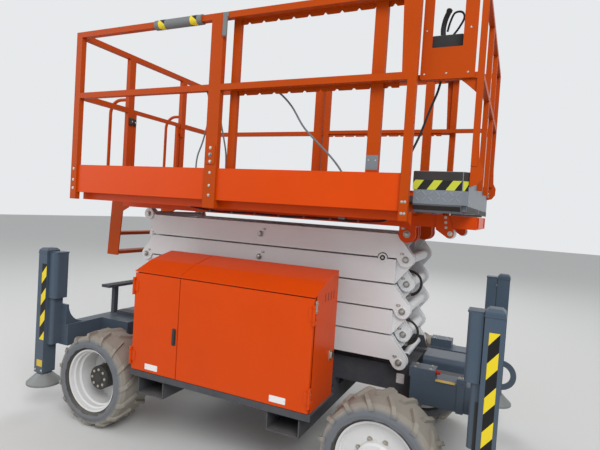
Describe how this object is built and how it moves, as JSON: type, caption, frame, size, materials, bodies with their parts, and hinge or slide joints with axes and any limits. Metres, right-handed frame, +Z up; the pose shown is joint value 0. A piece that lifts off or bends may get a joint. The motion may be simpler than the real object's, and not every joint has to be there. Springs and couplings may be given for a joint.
{
  "type": "scissor lift",
  "caption": "Rough-terrain scissor lift, stowed, with outriggers, a roll-out deck and side cabinets; the scissor arms raise the platform.",
  "frame": {"origin": "On the ground, midway between the axles, in the middle of the machine's width", "axes": "+X forward, +Y to the machine's left, +Z up"},
  "size_m": [3.405, 1.872, 2.8492],
  "materials": {
    "chassis": "satin",
    "outrigger": "satin",
    "axle": "satin",
    "leg": "satin",
    "tyre": "matte",
    "rim": "satin",
    "cover": "satin",
    "rail": "satin",
    "arm": "satin",
    "engine": "matte",
    "tank": "matte",
    "barrel": "gloss",
    "rod": "polished",
    "plastic": "matte",
    "guard": "satin"
  },
  "bodies": {
    "chassis": {"chassis_frame": "chassis", "front_beam": "outrigger", "rear_beam": "outrigger", "rear_step": "chassis", "outrigger_posts": "outrigger", "front_axle": "axle", "rear_axle": "axle", "side_trays": "chassis", "fork_pockets": "chassis", "cabinet_left": "cover", "cabinet_right": "cover", "engine_block": "engine", "tank_block": "tank"},
    "wheel_front_right": {"tyre_front_right": "tyre", "rim_front_right": "rim"},
    "outrigger_leg_front_right": {"outrigger_leg_front_right": "leg"},
    "wheel_front_left": {"tyre_front_left": "tyre", "rim_front_left": "rim"},
    "outrigger_leg_front_left": {"outrigger_leg_front_left": "leg"},
    "wheel_rear_right": {"tyre_rear_right": "tyre", "rim_rear_right": "rim"},
    "outrigger_leg_rear_right": {"outrigger_leg_rear_right": "leg"},
    "wheel_rear_left": {"tyre_rear_left": "tyre", "rim_rear_left": "rim"},
    "outrigger_leg_rear_left": {"outrigger_leg_rear_left": "leg"},
    "knuckle_right": {"knuckle_right": "axle"},
    "main_door_right": {"main_door_right": "cover"},
    "small_door_right": {"small_door_right": "cover"},
    "knuckle_left": {"knuckle_left": "axle"},
    "main_door_left": {"main_door_left": "cover"},
    "small_door_left": {"small_door_left": "cover"},
    "arm_1_outer": {"arm_1_outer": "arm"},
    "arm_1_inner": {"arm_1_inner": "arm"},
    "arm_2_outer": {"arm_2_outer": "arm"},
    "arm_2_inner": {"arm_2_inner": "arm"},
    "arm_3_outer": {"arm_3_outer": "arm"},
    "arm_3_inner": {"arm_3_inner": "arm"},
    "arm_4_outer": {"arm_4_outer": "arm"},
    "arm_4_inner": {"arm_4_inner": "arm"},
    "arm_5_outer": {"arm_5_outer": "arm"},
    "arm_5_inner": {"arm_5_inner": "arm"},
    "lift_barrel": {"lift_barrel": "barrel"},
    "lift_rod": {"lift_rod": "rod"},
    "platform": {"platform_frame": "cover", "toe_boards": "cover", "platform_rails_left": "rail", "platform_rails_right": "rail", "platform_rails_rear": "rail", "ladder": "rail", "rail_sleeve": "plastic", "guide_rollers": "plastic"},
    "gate": {"gate": "rail"},
    "extension": {"extension_deck": "rail", "extension_rails": "rail", "control_guard": "guard", "control_box": "plastic"}
  },
  "joints": [
    {"name": "lift", "type": "hinge", "parent": "chassis", "child": "arm_1_outer", "pos_m": [1.025, 0, 0.7375], "axis": [0, 1, 0], "range_deg": [0, 57]},
    {"name": "cross_1", "type": "hinge", "parent": "arm_1_outer", "child": "arm_1_inner", "pos_m": [-0.01, 0, 0.8175], "axis": [0, 1, 0], "range_deg": [-114, 0]},
    {"name": "knee_1_rear", "type": "hinge", "parent": "arm_1_outer", "child": "arm_2_outer", "pos_m": [-1.045, 0, 0.8975], "axis": [0, 1, 0], "range_deg": [-114, 0]},
    {"name": "cross_2", "type": "hinge", "parent": "arm_2_outer", "child": "arm_2_inner", "pos_m": [-0.01, 0, 0.9775], "axis": [0, 1, 0], "range_deg": [0, 114]},
    {"name": "knee_2_front", "type": "hinge", "parent": "arm_2_outer", "child": "arm_3_outer", "pos_m": [1.025, 0, 1.0575], "axis": [0, 1, 0], "range_deg": [0, 114]},
    {"name": "cross_3", "type": "hinge", "parent": "arm_3_outer", "child": "arm_3_inner", "pos_m": [-0.01, 0, 1.1375], "axis": [0, 1, 0], "range_deg": [-114, 0]},
    {"name": "knee_3_rear", "type": "hinge", "parent": "arm_3_outer", "child": "arm_4_outer", "pos_m": [-1.045, 0, 1.2175], "axis": [0, 1, 0], "range_deg": [-114, 0]},
    {"name": "cross_4", "type": "hinge", "parent": "arm_4_outer", "child": "arm_4_inner", "pos_m": [-0.01, 0, 1.2975], "axis": [0, 1, 0], "range_deg": [0, 114]},
    {"name": "knee_4_front", "type": "hinge", "parent": "arm_4_outer", "child": "arm_5_outer", "pos_m": [1.025, 0, 1.3775], "axis": [0, 1, 0], "range_deg": [0, 114]},
    {"name": "cross_5", "type": "hinge", "parent": "arm_5_outer", "child": "arm_5_inner", "pos_m": [-0.01, 0, 1.4575], "axis": [0, 1, 0], "range_deg": [-114, 0]},
    {"name": "platform_pivot", "type": "hinge", "parent": "arm_5_inner", "child": "platform", "pos_m": [1.025, 0, 1.5375], "axis": [0, 1, 0], "range_deg": [0, 57]},
    {"name": "cylinder_swing", "type": "hinge", "parent": "arm_1_inner", "child": "lift_barrel", "pos_m": [0.803, 0, 0.795], "axis": [0, 1, 0], "range_deg": [0, 112.48]},
    {"name": "cylinder_stroke", "type": "slide", "parent": "lift_barrel", "child": "lift_rod", "axis": [-0.9667, 0, 0.2559], "range_m": [0, 0.4085]},
    {"name": "steer_right", "type": "hinge", "parent": "chassis", "child": "knuckle_right", "pos_m": [1.038, -0.6515, 0.335], "axis": [0, 0, 1], "range_deg": [-25, 25]},
    {"name": "steer_left", "type": "hinge", "parent": "chassis", "child": "knuckle_left", "pos_m": [1.038, 0.6515, 0.335], "axis": [0, 0, 1], "range_deg": [-25, 25]},
    {"name": "roll_front_right", "type": "hinge", "parent": "knuckle_right", "child": "wheel_front_right", "pos_m": [1.038, -0.7215, 0.335], "axis": [0, 1, 0], "continuous": true},
    {"name": "roll_front_left", "type": "hinge", "parent": "knuckle_left", "child": "wheel_front_left", "pos_m": [1.038, 0.7215, 0.335], "axis": [0, 1, 0], "continuous": true},
    {"name": "roll_rear_right", "type": "hinge", "parent": "chassis", "child": "wheel_rear_right", "pos_m": [-1.038, -0.7215, 0.335], "axis": [0, 1, 0], "continuous": true},
    {"name": "roll_rear_left", "type": "hinge", "parent": "chassis", "child": "wheel_rear_left", "pos_m": [-1.038, 0.7215, 0.335], "axis": [0, 1, 0], "continuous": true},
    {"name": "extend_front_right", "type": "slide", "parent": "chassis", "child": "outrigger_leg_front_right", "axis": [0, 0, -1], "range_m": [0, 0.35]},
    {"name": "extend_front_left", "type": "slide", "parent": "chassis", "child": "outrigger_leg_front_left", "axis": [0, 0, -1], "range_m": [0, 0.35]},
    {"name": "extend_rear_right", "type": "slide", "parent": "chassis", "child": "outrigger_leg_rear_right", "axis": [0, 0, -1], "range_m": [0, 0.35]},
    {"name": "extend_rear_left", "type": "slide", "parent": "chassis", "child": "outrigger_leg_rear_left", "axis": [0, 0, -1], "range_m": [0, 0.35]},
    {"name": "main_door_right", "type": "hinge", "parent": "chassis", "child": "main_door_right", "pos_m": [0.651, -0.867, 0.83], "axis": [0, 0, 1], "range_deg": [0, 100]},
    {"name": "small_door_right", "type": "hinge", "parent": "chassis", "child": "small_door_right", "pos_m": [-0.664, -0.867, 0.83], "axis": [0, 0, -1], "range_deg": [0, 100]},
    {"name": "main_door_left", "type": "hinge", "parent": "chassis", "child": "main_door_left", "pos_m": [0.651, 0.867, 0.83], "axis": [0, 0, -1], "range_deg": [0, 100]},
    {"name": "small_door_left", "type": "hinge", "parent": "chassis", "child": "small_door_left", "pos_m": [-0.664, 0.867, 0.83], "axis": [0, 0, 1], "range_deg": [0, 100]},
    {"name": "gate_swing", "type": "hinge", "parent": "platform", "child": "gate", "pos_m": [-1.297, 0.294, 2.05], "axis": [0, 0, 1], "range_deg": [0, 90]},
    {"name": "deck_extend", "type": "slide", "parent": "platform", "child": "extension", "axis": [1, 0, 0], "range_m": [0, 0.9]}
  ],
  "couplings": [
    {"joint": "cross_1", "follows": "lift", "ratio": -2},
    {"joint": "knee_1_rear", "follows": "lift", "ratio": -2},
    {"joint": "cross_2", "follows": "lift", "ratio": 2},
    {"joint": "knee_2_front", "follows": "lift", "ratio": 2},
    {"joint": "cross_3", "follows": "lift", "ratio": -2},
    {"joint": "knee_3_rear", "follows": "lift", "ratio": -2},
    {"joint": "cross_4", "follows": "lift", "ratio": 2},
    {"joint": "knee_4_front", "follows": "lift", "ratio": 2},
    {"joint": "cross_5", "follows": "lift", "ratio": -2},
    {"joint": "platform_pivot", "follows": "lift", "ratio": 1},
    {"joint": "cylinder_swing", "follows": "lift", "ratio": 1.9733},
    {"joint": "cylinder_stroke", "follows": "lift", "m_per_rad": 0.41016},
    {"joint": "steer_left", "follows": "steer_right", "ratio": 1}
  ]
}
